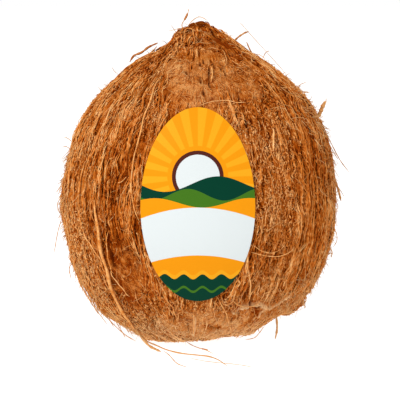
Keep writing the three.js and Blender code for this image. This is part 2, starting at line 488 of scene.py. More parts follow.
for _ in range(CURL_GAPS):
    gap_way = slit_rng.uniform(0.07, 0.9)
    gap_azimuth = slit_rng.uniform(0, 2 * math.pi)
    gap_size = slit_rng.uniform(0.4, 2.2) * MM
    heading = slit_rng.normal(0, 0.8)
    gap_steps = np.linspace(0, gap_size, GAP_POINTS)
    gap_ways = gap_way + gap_steps * math.cos(heading) / OUTLINE_LENGTH
    gap_across = gap_steps * math.sin(heading) / lookup(radius_grid, gap_azimuth, gap_way)
    if slit_rng.uniform() < lookup(curled_grid, gap_azimuth, gap_way):
        stroke(slit_grid, gap_azimuth + gap_across, gap_ways, slit_rng.uniform(0.35, 0.62))


def furrows(azimuth, way):
    """Height of the ridges, 0 in the furrows to 1 on the crests."""
    turned = azimuth + swirl(azimuth, way)
    broad = np.abs(ripple(turned, way, 70, 8, 21))
    narrow = np.abs(ripple(turned, way, 170, 15, 22))
    closed = step_up(0.45, 0.75, 0.5 + 0.5 * ripple(azimuth, way, 34, 18, 23))
    crest = 0.55 * np.minimum(broad * 2.6, 1) ** 0.7 + 0.45 * np.minimum(narrow * 2.6, 1) ** 0.7
    return crest + (1 - crest) * closed * 0.7


# Heights and depths in mm over the CAD skin, and where the stub's broken end is highest.
RIDGE_HEIGHT = 1.5
SWELL_HEIGHT = 0.5
FELT_HEIGHT = 1.5
DIMPLE_HEIGHT = 0.8
KNOB_HEIGHT = 0.9
BORDER_HEIGHT = 0.9
EDGE_HEIGHT = 0.7
SLIT_DEPTH = 1.2
HUSK_DROP = 2.6
POLE_DROP = 0.9
SCAR_HEIGHT = 1.9
SCAR_DROP = 0.45
SCAR_MIDDLE = 1.6
SCAR_HALF_WIDTH = 4.4
CHIP_HEIGHT = 0.45


def near_stub(inner, outer):
    """1 within one distance in mm of the stub's middle, fading to 0 at another."""
    return np.where(grid_way < 0.3, 1 - step_up(inner * MM, outer * MM, radius_grid), 0)


furrow_grid = furrows(grid_azimuth, grid_way)
swell_grid = grid_ripple(12, 10, 31) + 0.5 * grid_ripple(28, 18, 32)
crowding = step_up(5 * MM, 22 * MM, radius_grid)
ridge_grid = RIDGE_HEIGHT * furrow_grid * (1 - 0.8 * felt_grid) + FELT_HEIGHT * felt_grid
ridge_grid += DIMPLE_HEIGHT * felt_grid * grid_ripple(104, 58, 34)
ridge_grid = ridge_grid - SLIT_DEPTH * slit_grid + EDGE_HEIGHT * edge_grid
relief_grid = crowding * (ridge_grid + SWELL_HEIGHT * swell_grid - HUSK_DROP) - POLE_DROP * (1 - crowding)
for places, back in ((SWELLINGS, False), (SWELLINGS_BEHIND, True)):
    for *place, height in places:
        relief_grid += height * patch(*place, back)
stub_grid = near_stub(11, 24)
knobs = grid_ripple(12, 66, 33) * step_up(1 * MM, 14 * MM, radius_grid)
relief_grid += KNOB_HEIGHT * stub_grid * knobs
# The stub's broken end is highest a little right of its middle.
chips = grid_ripple(9, 90, 35) * step_up(0.5 * MM, 3 * MM, radius_grid)
off_middle = (skin_grid[..., 0] / MM - SCAR_MIDDLE) / SCAR_HALF_WIDTH
end_height = SCAR_HEIGHT * np.exp(-off_middle ** 4) - SCAR_DROP
relief_grid += near_stub(6, 10) * (end_height + CHIP_HEIGHT * chips)
label_middle = (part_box("label")[0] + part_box("label")[1]) / 2
label_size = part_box("label")[1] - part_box("label")[0]


def on_label(points, margin=0.0):
    """Where points are on the label, or on one wider by a margin: -1 to 1 across and up."""
    across = (points[..., 0] - label_middle.x) / (label_size.x / 2 + margin)
    up = (points[..., 2] - label_middle.z) / (label_size.z / 2 + margin)
    return across, up


# The mat swells a little around the label, where the paper holds it.
past_label = (np.hypot(*on_label(skin_grid)) - 1) * label_size.x / 2 / MM
border_grid = step_up(-1.5, 0.2, past_label) * (1 - step_up(1.5, 8, past_label))
border_grid = np.where(skin_grid[..., 1] < 0, border_grid, 0)
relief_grid += BORDER_HEIGHT * border_grid

HUSK_COLUMNS = 520
HUSK_RINGS = 150
HUSK_LOWEST = 0.6
GRAIN_STRETCH = 0.35
bpy.ops.mesh.primitive_uv_sphere_add(
    segments=HUSK_COLUMNS, ring_count=HUSK_RINGS, radius=60 * MM, location=Vector(SKIN_MIDDLE))
husk = bpy.context.object
husk.name = "husk"
bpy.ops.object.transform_apply(location=True)


def read_points(mesh):
    points = np.zeros(len(mesh.vertices) * 3)
    mesh.vertices.foreach_get("co", points)
    return points.reshape(-1, 3)


def write_points(mesh, points):
    mesh.vertices.foreach_set("co", points.ravel())
    mesh.update()


def write_attribute(mesh, name, values, kind="FLOAT"):
    layer = mesh.attributes.new(name, kind, "POINT")
    layer.data.foreach_set("vector" if kind == "FLOAT_VECTOR" else "value", np.ravel(values))


sphere = read_points(husk.data) - SKIN_MIDDLE
husk_azimuth = np.arctan2(sphere[:, 1], sphere[:, 0])
husk_way = np.arccos(np.clip(sphere[:, 2] / np.linalg.norm(sphere, axis=1), -1, 1)) / math.pi
husk_points = lookup(skin_grid, husk_azimuth, husk_way)
husk_height = lookup(relief_grid, husk_azimuth, husk_way)
husk_points += lookup(normal_grid, husk_azimuth, husk_way) * husk_height[:, None] * MM
husk_points[:, 2] = np.maximum(husk_points[:, 2], HUSK_LOWEST * MM)
write_points(husk.data, husk_points)
husk_grids = {
    "felt": felt_grid, "pith": pith_grid, "crest": furrow_grid * (1 - slit_grid),
    "slit": slit_grid, "pressed": pressed_grid, "edge": edge_grid, "tone_and_painted_light": tone_and_painted_light_grid,
}
for name, grid in husk_grids.items():
    write_attribute(husk.data, name, lookup(grid, husk_azimuth, husk_way))
write_attribute(husk.data, "scar", 1 - step_up(0.022, 0.05, husk_way))
grain = np.stack([np.cos(husk_azimuth), np.sin(husk_azimuth), husk_way * GRAIN_STRETCH], axis=1)
write_attribute(husk.data, "grain", grain, "FLOAT_VECTOR")
bpy.ops.object.shade_smooth()


def attribute(material, name, kind="Fac"):
    return node(material, "ShaderNodeAttribute", {"attribute_name": name}).outputs[kind]


def noise(material, vector, scale, detail=3, roughness=0.55):
    made = node(material, "ShaderNodeTexNoise", Vector=vector, Scale=scale, Detail=detail,
                Roughness=roughness)
    return made.outputs["Fac"]


def maths(material, operation, first, second=0.0, third=0.0):
    made = node(material, "ShaderNodeMath", {"operation": operation}, i0=first, i1=second, i2=third)
    return made.outputs["Value"]


def ramp(material, factor, stops):
    made = node(material, "ShaderNodeValToRGB", Fac=factor)
    elements = made.color_ramp.elements
    while len(elements) < len(stops):
        elements.new(0.5)
    for element, (position, colour) in zip(elements, stops):
        element.position = position
        element.color = (*colour, 1)
    return made.outputs["Color"]


def blend(material, share, under, over):
    """Covers one colour with another; each is a socket, or red, green and blue."""
    under, over = ((*colour, 1) if isinstance(colour, tuple) else colour for colour in (under, over))
    made = node(material, "ShaderNodeMix", {"data_type": "RGBA"}, i0=share, i6=under, i7=over)
    return made.outputs[2]


def bump(material, height, distance, strength=1.0):
    made = node(material, "ShaderNodeBump", Height=height, Distance=distance, Strength=strength)
    return made.outputs["Normal"]


# The darkest colour is painted shade for slits and gaps.
PAINTED_GAP_SHADE = (0.085, 0.010, 0.0005)
RED_BROWN = (0.35, 0.058, 0.001)
COIR_BROWN = (0.60, 0.178, 0.023)
COIR_TAN = (0.79, 0.39, 0.13)
COIR_PALE = (0.87, 0.52, 0.24)
PITH_TAN = (0.63, 0.225, 0.050)
PITH_PALE = (0.73, 0.35, 0.12)
PITH_DUST = (0.82, 0.53, 0.27)
FELT_BROWN = (0.43, 0.105, 0.010)
PAINTED_PIT_SHADE = (0.22, 0.030, 0.001)

mat_coir = new_material("matted_coir", Specular_IOR_Level=0.01)
plus = partial(maths, mat_coir, "ADD")
times = partial(maths, mat_coir, "MULTIPLY")
scaled = partial(maths, mat_coir, "MULTIPLY_ADD")
mat_noise = partial(noise, mat_coir)
mat_value = partial(attribute, mat_coir)
cover = partial(blend, mat_coir)

mat_place = node(mat_coir, "ShaderNodeTexCoord").outputs["Object"]
grain_vector = mat_value("grain", "Vector")
chopped_vector = node(mat_coir, "ShaderNodeMapping", Vector=grain_vector, Scale=(1, 1, 3)).outputs["Vector"]
strand_noise = mat_noise(grain_vector, 75, 3, 0.65)
chopped_noise = mat_noise(chopped_vector, 120, 2, 0.6)
speck_noise = mat_noise(mat_place, 900, 3, 0.65)
mottle_noise = mat_noise(mat_place, 300, 4, 0.7)
blotch_noise = mat_noise(mat_place, 150, 2, 0.5)
pit_noise = mat_noise(chopped_vector, 55, 2, 0.5)
# The husk's spots of tone, partly painted light and shade.
spot_tone_and_painted_light = mat_value("tone_and_painted_light")

# Combed coir is painted darker and redder in its furrows and lighter on its crests: painted shade in the
# furrows.
coir_tone = scaled(strand_noise, 0.9, -0.82)
coir_tone = scaled(chopped_noise, 1.1, coir_tone)
coir_tone = plus(scaled(mat_value("crest"), 0.38, coir_tone), spot_tone_and_painted_light)
coir_colour = ramp(mat_coir, coir_tone, [
    (0, PAINTED_GAP_SHADE), (0.3, RED_BROWN), (0.6, COIR_BROWN), (1, COIR_TAN)])
# Felted coir is mottled, and dark pits are painted on it: painted shade of pits that the mesh doesn't have.
felt_tone = scaled(mottle_noise, 0.95, scaled(speck_noise, 0.7, -0.22))
felt_tone = plus(felt_tone, scaled(blotch_noise, 1.5, -0.86))
felt_tone = plus(scaled(mat_value("pressed"), -0.24, felt_tone), spot_tone_and_painted_light)
felt_colour = ramp(mat_coir, felt_tone, [
    (0.08, PAINTED_PIT_SHADE), (0.26, FELT_BROWN), (0.54, PITH_TAN), (0.85, PITH_PALE)])
# Painted shade: dark pits in the felt.
felt_colour = cover(scaled(pit_noise, -9.0, 3.45), felt_colour, PAINTED_PIT_SHADE)
# Felt covers the combed coir, then come bare pith, dusty edges, the stub's scar and painted shade in the
# slits.
mat_colour = cover(times(mat_value("felt"), 0.95), coir_colour, felt_colour)
# Where the spots are painted darker, less bare pith shows.
darkened = maths(mat_coir, "MINIMUM", spot_tone_and_painted_light, 0.0)
pith_share = scaled(darkened, 5.0, scaled(mottle_noise, 2.0, -0.65))
mat_colour = cover(times(mat_value("pith"), pith_share), mat_colour, PITH_PALE)
edge_share = times(mat_value("edge"), scaled(mottle_noise, 2.0, -0.2))
mat_colour = cover(edge_share, mat_colour, PITH_DUST)
mat_colour = cover(times(mat_value("scar"), 0.7), mat_colour, RED_BROWN)
# Painted shade: the slits are covered with near black brown.
mat_colour = cover(times(mat_value("slit"), 0.92), mat_colour, PAINTED_GAP_SHADE)
feed_shader(mat_coir, Base_Color=mat_colour, Roughness=scaled(speck_noise, 0.25, 0.7),
            Normal=bump(mat_coir, plus(speck_noise, chopped_noise), 0.6 * MM))
husk.data.materials.append(mat_coir)
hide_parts("coconut")
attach(husk, "root")


# ---- Fibres ----
# Coir strands that husking combed down and left on the nut. They grow from the stub to the
# base in bundles, with hairs and short curled ends lying over them, and bind the mat beneath.
BAKE_MARGIN = 0.12
STRAND_LOWEST = 0.05


def mesh_from(name, points, quads, ends):
    """A mesh of four-sided faces and of end faces that all have the same number of corners."""
    mesh = bpy.data.meshes.new(name)
    corners = np.concatenate([quads.ravel(), ends.ravel()])
    starts = np.concatenate([
        np.arange(len(quads)) * 4,
        len(quads) * 4 + np.arange(len(ends)) * ends.shape[1],
    ])
    mesh.vertices.add(len(points))
    mesh.loops.add(len(corners))
    mesh.polygons.add(len(starts))
    mesh.vertices.foreach_set("co", points.ravel())
    mesh.loops.foreach_set("vertex_index", corners.astype(np.int32))
    mesh.polygons.foreach_set("loop_start", starts.astype(np.int32))
    mesh.update(calc_edges=True)
    mesh.validate()
    return mesh


def fibre_mesh(name, paths, outward, radii, tones, sides, flat):
    """Strands as tubes: paths and outward are (strand, ring, 3), radii and tones (strand, ring)."""
    count, rings, _ = paths.shape
    tangent = unit(np.gradient(paths, axis=1))
    normal = unit(outward - tangent * np.sum(outward * tangent, axis=2, keepdims=True))
    across = np.cross(tangent, normal)
    angle = 2 * math.pi * np.arange(sides) / sides
    spoke = (normal[:, :, None] * (np.cos(angle) * flat)[None, None, :, None]
             + across[:, :, None] * (np.sin(angle) / flat ** 0.5)[None, None, :, None])
    points = paths[:, :, None] + spoke * radii[:, :, None, None]
    points[..., 2] = np.maximum(points[..., 2], STRAND_LOWEST * MM)
    number = np.arange(count * rings * sides).reshape(count, rings, sides)
    near = number[:, :-1]
    far = number[:, 1:]
    quads = np.stack([near, np.roll(near, -1, axis=2), np.roll(far, -1, axis=2), far], axis=3)
    caps = np.concatenate([number[:, 0, ::-1], number[:, -1]])
    mesh = mesh_from(name, points.reshape(-1, 3), quads.reshape(-1, 4), caps)
    write_attribute(mesh, "tone", np.repeat(tones, sides))
    # One cell of the baked sheet for each strand: across is its girth, up is its length.
    cells = math.ceil(math.sqrt(count))
    cell = np.arange(count)
    corner = np.stack([cell % cells, cell // cells], axis=1) / cells
    margin = BAKE_MARGIN / cells
    usable = (1 - 2 * BAKE_MARGIN) / cells
    girth = (np.arange(sides)[:, None] + (0, 1, 1, 0)) / sides
    length = (np.arange(rings - 1)[:, None, None] + (0, 0, 1, 1)) / (rings - 1)
    quad_uv = np.stack(np.broadcast_arrays(girth, length), axis=3)
    quad_uv = corner[:, None, None, None] + margin + quad_uv * usable
    cap_uv = np.stack(np.broadcast_arrays(np.arange(sides) / sides, [[0.0], [1.0]]), axis=2)
    cap_uv = corner[:, None] + margin + cap_uv[:, None] * usable
    layer = mesh.uv_layers.new(name="OFBake")
    layer.data.foreach_set("uv", np.concatenate([quad_uv.ravel(), cap_uv.ravel()]))
    return mesh


# Darker colours for loose strands: painted shade against the light they catch in the open.
DRY_SHADED_DARK = (0.16, 0.035, 0.003)
DRY_SHADED_BROWN = (0.40, 0.115, 0.016)
DRY_SHADED_TAN = (0.63, 0.31, 0.105)
DRY_SHADED_PALE = (0.74, 0.45, 0.21)


def strand_material(name, colours):
    material = new_material(name, Specular_IOR_Level=0.03)
    place = node(material, "ShaderNodeTexCoord").outputs["Object"]
    fleck = noise(material, place, 500, 3, 0.65)
    fine_fleck = noise(material, place, 1800, 2, 0.5)
    tone = maths(material, "MULTIPLY_ADD", fleck, 1.0, -0.5)
    tone = maths(material, "ADD", tone, attribute(material, "tone"))
    feed_shader(material, Base_Color=ramp(material, tone, colours),
                Roughness=maths(material, "MULTIPLY_ADD", fleck, 0.3, 0.5),
                Normal=bump(material, fine_fleck, 0.1 * MM, 0.4))
    return material


# Strands in slits and furrows reach the darkest stop: painted shade.
strand_coir = strand_material("coir_strand", [
    (0, PAINTED_GAP_SHADE), (0.2, RED_BROWN), (0.45, COIR_BROWN), (0.72, COIR_TAN), (1, COIR_PALE)])
# Loose ends get a darker copy of the strand colours, a little less red: partly the look of dry coir, and
# partly painted shade that offsets the stronger light they catch in the open.
dry_shaded_coir = strand_material("dry_shaded_coir_strand", [
    (0, DRY_SHADED_DARK), (0.3, DRY_SHADED_BROWN), (0.6, DRY_SHADED_TAN), (1, DRY_SHADED_PALE)])


def add_fibres(name, paths, outward, radii, tones, sides=3, flat=1.0, coir=strand_coir):
    tones = np.broadcast_to(np.reshape(np.clip(tones, 0, 1), (len(paths), -1)), radii.shape)
    mesh = fibre_mesh(name, paths, outward, radii, tones, sides, flat)
    mesh.shade_smooth()
    mesh.materials.append(coir)
    piece = bpy.data.objects.new(name, mesh)
    bpy.context.collection.objects.link(piece)
    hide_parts("coconut")
    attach(piece, "root")


def under_label(points, margin):
    across, up = on_label(points, margin)
    return (across * across + up * up < 1) & (points[..., 1] < 0)


def scatter(rng, count, keep):
    """Places spread evenly over the skin, thinned where keep is under 1."""
    ways = np.linspace(0, 1, SKIN_ROWS + 1)
    share = np.cumsum(radius_grid.mean(axis=1))
    azimuth = np.zeros(0)
    way = np.zeros(0)
    while len(azimuth) < count:
        a = rng.uniform(0, 2 * math.pi, count)
        w = np.interp(rng.uniform(0, share[-1], count), share, ways)
        kept = rng.uniform(0, 1, count) < keep(a, w)
        azimuth = np.concatenate([azimuth, a[kept]])
        way = np.concatenate([way, w[kept]])
    return azimuth[:count], way[:count]


def room_at(azimuth, way):
    """The nut's radius there, kept from nothing near the poles."""
    return np.maximum(lookup(radius_grid, azimuth, way), LEAST_RADIUS)


TOP_WAY = 0.012
BASE_WAY = 0.985


def lie(azimuth, way, sideways, downward):
    """Turns steps sideways and downward in mm into lines that keep to the lie of the husk."""
    ways = np.clip(way[:, None] + downward * MM / OUTLINE_LENGTH, TOP_WAY, BASE_WAY)
    kept = (azimuth + swirl(azimuth, way))[:, None]
    line = np.broadcast_to(azimuth[:, None], ways.shape)
    for _ in range(4):
        line = kept - swirl(line, ways)
    return line + sideways * MM / room_at(line, ways), ways


def slide_to_ridges(azimuth, way, passes):
    for _ in range(passes):
        nudge = 0.25 * MM / room_at(azimuth, way)
        slope = lookup(furrow_grid, azimuth + nudge, way) - lookup(furrow_grid, azimuth - nudge, way)
        azimuth = azimuth + np.clip(slope * 2, -1, 1) * nudge
    return azimuth


# How far in mm strands dive where the mat is open, and where the label presses them to.
SLIT_DIVE = 1.6
BARE_DIVE = 1.3
SCAR_DIVE = 0.9
PRESSED_LEVEL = -0.35


def over_husk(azimuth, way, level):
    """Points at a level in mm over the husk, and which way is out; the label presses them in."""
    base = lookup(skin_grid, azimuth, way)
    outward = unit(lookup(normal_grid, azimuth, way))
    buried = SLIT_DIVE * lookup(slit_grid, azimuth, way) + BARE_DIVE * lookup(bare_grid, azimuth, way)
    scarred = SCAR_DIVE * (1 - step_up(0.02, 0.045, way))
    rise = lookup(relief_grid, azimuth, way) + level - buried - scarred
    rise = np.where(under_label(base, 0.5 * MM), np.minimum(rise, PRESSED_LEVEL), rise)
    return base + outward * rise[..., None] * MM, outward


def tone_and_painted_light_at(azimuth, way):
    """How much lighter or darker strands are there than the rest, as a change of tone: partly their own
    colour, partly painted shade in slits and furrows and painted light towards the base.
    """
    blotch = 0.06 * ripple(azimuth, way, 9, 7, 41) + 0.07 * ripple(azimuth, way, 30, 17, 42)
    mottle = 0.13 * ripple(azimuth, way, 230, 80, 43)
    # Paler towards the base: partly dust, partly painted light from the floor.
    base = 0.34 * step_up(0.74, 0.87, way)
    scar = 0.2 * (1 - step_up(0.025, 0.06, way))
    # Painted shade: darker in slits and furrows.
    slit_and_furrow_shade = 0.5 * lookup(slit_grid, azimuth, way) + 0.1 * (1 - lookup(furrow_grid, azimuth, way))
    worn = 0.12 * lookup(pressed_grid, azimuth, way) + 0.13 * lookup(stub_grid, azimuth, way)
    return blotch + mottle + base + lookup(tone_and_painted_light_grid, azimuth, way) - scar - slit_and_furrow_shade - worn


def keep_bundle(azimuth, way):
    felt = lookup(felt_grid, azimuth, way)
    curled = lookup(curled_grid, azimuth, way)
    return (1 - 0.88 * felt) * (1 - 0.6 * curled) * (1 - 0.7 * lookup(stub_grid, azimuth, way))


# Combed coir is more even in tone, partly painted flatter light on that side, and no strand is much paler
# than those round it.
EVENNESS = 0.5
PALEST = 0.17


def lay_bundles(name, seed, bundles, length, width, thickness, level, middle_tone):
    """Strands that run side by side in flat bundles, and cross within them."""
    rings = 7
    strands = 5
    rng = np.random.default_rng(seed)
    azimuth, way = scatter(rng, bundles, keep_bundle)
    loose = np.maximum(lookup(curled_grid, azimuth, way), lookup(stub_grid, azimuth, way))
    lengths = rng.uniform(*length, bundles) * (1 - 0.55 * loose)
    share = np.linspace(-0.5, 0.5, rings)
    downward = share * lengths[:, None]
    drift = np.tan(rng.normal(0, 0.06 + 0.16 * loose, bundles))
    waves = rng.uniform(0.08, 0.2, bundles)[:, None]
    phase = rng.uniform(0, 2 * math.pi, bundles)[:, None]
    sway = 0.4 * np.sin(downward * waves * 2 * math.pi + phase)
    guide, ways = lie(azimuth, way, downward * drift[:, None] + sway, downward)
    guide = slide_to_ridges(guide, ways, passes=8)
    half = rng.uniform(*width, bundles) / 2

    def spread(values):
        return np.repeat(values, strands, axis=0)

    count = bundles * strands
    offset = rng.uniform(-1, 1, count)
    shift = rng.uniform(-0.2, 0.2, count) * spread(lengths)
    crossing = 0.4 * np.sin(share * rng.uniform(3, 11, count)[:, None] + rng.uniform(0, 6.3, count)[:, None])
    pinch = 1 - 0.5 * np.abs(share * 2) ** 3
    sideways = (offset[:, None] + crossing) * spread(half)[:, None] * pinch
    ways = np.clip(spread(ways) + shift[:, None] * MM / OUTLINE_LENGTH, TOP_WAY, BASE_WAY)
    line = spread(guide) + sideways * MM / room_at(spread(guide), ways)
    crown = 0.3 * (1 - offset ** 2)
    tucked = 0.5 * np.abs(share * 2) ** 6
    heights = (rng.uniform(*level, count) + crown)[:, None] - tucked
    heights = heights - rng.uniform(0.6, 1.6, count)[:, None] * lookup(felt_grid, line, ways)
    paths, outward = over_husk(line, ways, heights)
    thick = rng.uniform(*thickness, count) * MM / 2
    radii = thick[:, None] * (1 - 0.6 * np.abs(share * 2) ** 4)
    tones = spread(rng.normal(0, 0.09, bundles)) + rng.normal(0, 0.13, count)
    uneven = 1 - EVENNESS * spread(lookup(combed_and_flat_lit_grid, azimuth, way))
    tones = middle_tone + np.minimum(tones, PALEST) * uneven
    # Strands at a bundle's sides, where it is lowest, are painted darker: painted shade between bundles.
    tones = (tones - 0.08 * np.abs(offset))[:, None] + tone_and_painted_light_at(line, ways)
    add_fibres(name, paths, outward, radii, tones, flat=0.55)


# The deep layer gets a darker middle tone than the upper one: painted shade under the upper layer.
lay_bundles("bundles_deep", 101, 900, length=(15, 36), width=(1.2, 2.8), thickness=(0.36, 0.8),
            level=(0.0, 0.35), middle_tone=0.455)
lay_bundles("bundles_upper", 102, 880, length=(7, 24), width=(1.0, 2.4), thickness=(0.34, 0.75),
            level=(0.35, 0.8), middle_tone=0.56)


def curl_lines(rng, count, rings, length, spread, bend, keep):
    """Places on the nut, and a line at each that curls at its own even rate."""
    azimuth, way = scatter(rng, count, keep)
    step = rng.uniform(*length, count)[:, None] / (rings - 1)
    headings = rng.normal(0, spread, count)
    bends = rng.normal(0, bend, count)
    heading = headings[:, None] + bends[:, None] * (np.linspace(0, 1, rings) - 0.5)
    sideways = np.cumsum(np.sin(heading) * step, axis=1)
    downward = np.cumsum(np.cos(heading) * step, axis=1)
    sideways = sideways - sideways.mean(axis=1, keepdims=True)
    downward = downward - downward.mean(axis=1, keepdims=True)
    return azimuth, way, *lie(azimuth, way, sideways, downward)


def lay_curls(name, seed, count, rings, length, thickness, spread, bend, level, arch,
              middle_tone, keep):
    """Short strands that lie on the mat; spread and bend are in radians."""
    rng = np.random.default_rng(seed)
    azimuth, way, line, ways = curl_lines(rng, count, rings, length, spread, bend, keep)
    share = np.linspace(0, 1, rings)
    hump = rng.uniform(*arch, count)[:, None] * np.sin(share * math.pi)
    heights = rng.uniform(*level, count)[:, None] + hump
    paths, outward = over_husk(line, ways, heights)
    thick = rng.uniform(*thickness, count) * MM / 2
    radii = thick[:, None] * (1 - 0.6 * np.abs(share * 2 - 1) ** 3)
    uneven = 1 - EVENNESS * lookup(combed_and_flat_lit_grid, azimuth, way)
    tones = middle_tone + np.minimum(rng.normal(0, 0.16, count), PALEST) * uneven
    add_fibres(name, paths, outward, radii, tones[:, None] + tone_and_painted_light_at(line, ways))


def keep_curl(azimuth, way):
    felt = lookup(felt_grid, azimuth, way)
    return (0.14 + 0.86 * lookup(curled_grid, azimuth, way)) * (1 - 0.75 * felt)


def keep_hair(azimuth, way):
    matted = np.maximum(lookup(felt_grid, azimuth, way), lookup(stub_grid, azimuth, way))
    return 1 - 0.7 * matted


def keep_felt(azimuth, way):
    return lookup(felt_grid, azimuth, way) * (1 - 0.8 * lookup(edge_grid, azimuth, way))


def keep_stub(azimuth, way):
    return lookup(stub_grid, azimuth, way)


lay_curls("short_curls", 103, 14000, 3, length=(0.8, 2.3), thickness=(0.34, 0.7), spread=0.55,
          bend=1.0, level=(0.4, 1.0), arch=(0, 0.4), middle_tone=0.565, keep=keep_curl)
lay_curls("fine_fibres", 107, 900, 8, length=(6, 20), thickness=(0.22, 0.44), spread=0.16,
          bend=0.7, level=(0.6, 1.0), arch=(0, 0.3), middle_tone=0.56, keep=keep_hair)
lay_curls("loose_hairs", 104, 800, 9, length=(5, 16), thickness=(0.18, 0.34), spread=0.5,
          bend=1.8, level=(0.7, 1.1), arch=(0, 0.7), middle_tone=0.60, keep=keep_hair)
lay_curls("felt_fuzz", 108, 3000, 5, length=(1.6, 5.5), thickness=(0.16, 0.34), spread=0.9,
          bend=1.3, level=(-0.02, 0.16), arch=(0, 0.12), middle_tone=0.54, keep=keep_felt)
lay_curls("stub_ends", 106, 360, 5, length=(1.8, 4.6), thickness=(0.4, 0.9), spread=0.6,
          bend=1.0, level=(0.0, 0.35), arch=(0, 0.2), middle_tone=0.40, keep=keep_stub)


def keep_stray(azimuth, way):
    return 0.1 + 0.9 * lookup(fuzzy_grid, azimuth, way)


def lay_strays(name, seed, count, rings, length, thickness, spread, bend, level, reach_out,
               middle_tone, keep):
    """Hairs that spring from the husk with one end free."""
    rng = np.random.default_rng(seed)
    _, _, line, ways = curl_lines(rng, count, rings, length, spread, bend, keep)
    share = np.linspace(0, 1, rings)
    lift = rng.uniform(*reach_out, count)[:, None] * share ** rng.uniform(0.8, 2, count)[:, None]
    paths, outward = over_husk(line, ways, level + lift)
    thick = rng.uniform(*thickness, count) * MM / 2
    radii = thick[:, None] * (1 - 0.7 * share ** 2)
    tones = middle_tone + rng.normal(0, 0.15, count)
    # Stray hairs take the darker dry coir colours: painted shade against the light they catch.
    add_fibres(name, paths, outward, radii, tones, coir=dry_shaded_coir)


lay_strays("stray_hairs", 105, 3300, 5, length=(2, 7.5), thickness=(0.2, 0.4), spread=0.9,
           bend=1.3, level=0.4, reach_out=(0.4, 3.2), middle_tone=0.62, keep=keep_stray)


# ---- Long strands ----
# Coarse single strands of coir and slivers of husk that the husking left loose: some lie along
# the nut, some stand off its edge, and some trail from the base onto the floor.
STRAND_RINGS = 28
STRAND_SIDES = 5


def laid(lift, places):
    """A strand's line on the front of the nut, its ends tucked into the mat."""
    azimuth, way = skin_line(places, STRAND_RINGS)
    outward = unit(lookup(normal_grid, azimuth, way))
    share = np.linspace(-1, 1, STRAND_RINGS)
    tuck = 1.1 * share ** 8
    wander = 0.15 * np.sin(share * 9)
    rise = (lift - tuck + wander) * MM
    return lookup(skin_grid, azimuth, way) + outward * rise[:, None], outward


def standing(points, lean=0.0):
    """A strand's line in the open, from points (x, y, z) in mm; its free end leans in y."""
    centre = smooth_line(points, STRAND_RINGS)
    reach_out = np.linalg.norm(centre[-1] - centre[0])
    centre[:, 1] += lean * reach_out * np.linspace(0, 1, STRAND_RINGS) ** 1.5
    return centre * MM, np.broadcast_to((0, -1, 0.2), centre.shape)


def add_strands(name, seed, strands, lines, coir):
    """One strand along each line; its row begins with its thickness in mm and its tone."""
    rng = np.random.default_rng(seed)
    thicknesses, tones = np.array([strand[:2] for strand in strands]).T
    share = np.linspace(-1, 1, STRAND_RINGS)
    start = rng.uniform(0, 6.3, (2, len(lines), 1))
    uneven = 1 + 0.14 * np.sin(share * 12 + start[0]) + 0.1 * np.sin(share * 23 + start[1])
    radii = thicknesses[:, None] / 2 * MM * uneven * (1 - 0.75 * np.abs(share) ** 5)
    paths, outward = (np.stack(points) for points in zip(*lines))
    add_fibres(name, paths, outward, radii, tones, STRAND_SIDES, coir=coir)


